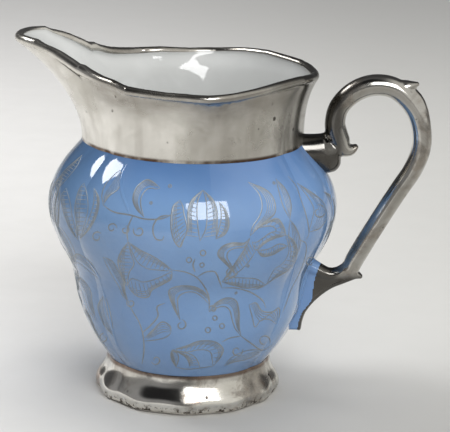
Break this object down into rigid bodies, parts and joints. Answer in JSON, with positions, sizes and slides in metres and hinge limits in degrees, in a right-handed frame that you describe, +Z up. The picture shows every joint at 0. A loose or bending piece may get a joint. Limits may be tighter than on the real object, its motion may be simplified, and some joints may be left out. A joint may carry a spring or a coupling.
{
  "type": "cream jug",
  "caption": "Footed porcelain cream jug with a lobed blue belly, silver over its collar, foot and scroll handle, and a pouring lip.",
  "frame": {"origin": "centre of the foot ring, on the jug's axis, in the plane it stands on", "axes": "+Z up, +X towards the handle, -X towards the pouring lip, +Y across"},
  "size_m": [0.1308, 0.0912, 0.115],
  "materials": {
    "porcelain": "white glaze, glossy",
    "blue_glaze": "light blue glaze, glossy",
    "silver": "polished silver, lightly tarnished"
  },
  "bodies": {
    "root": {"porcelain_body": "porcelain", "porcelain_handle": "porcelain", "blue_glaze": "blue_glaze", "silver_collar": "silver", "silver_foot": "silver", "silver_handle": "silver"}
  },
  "joints": []
}
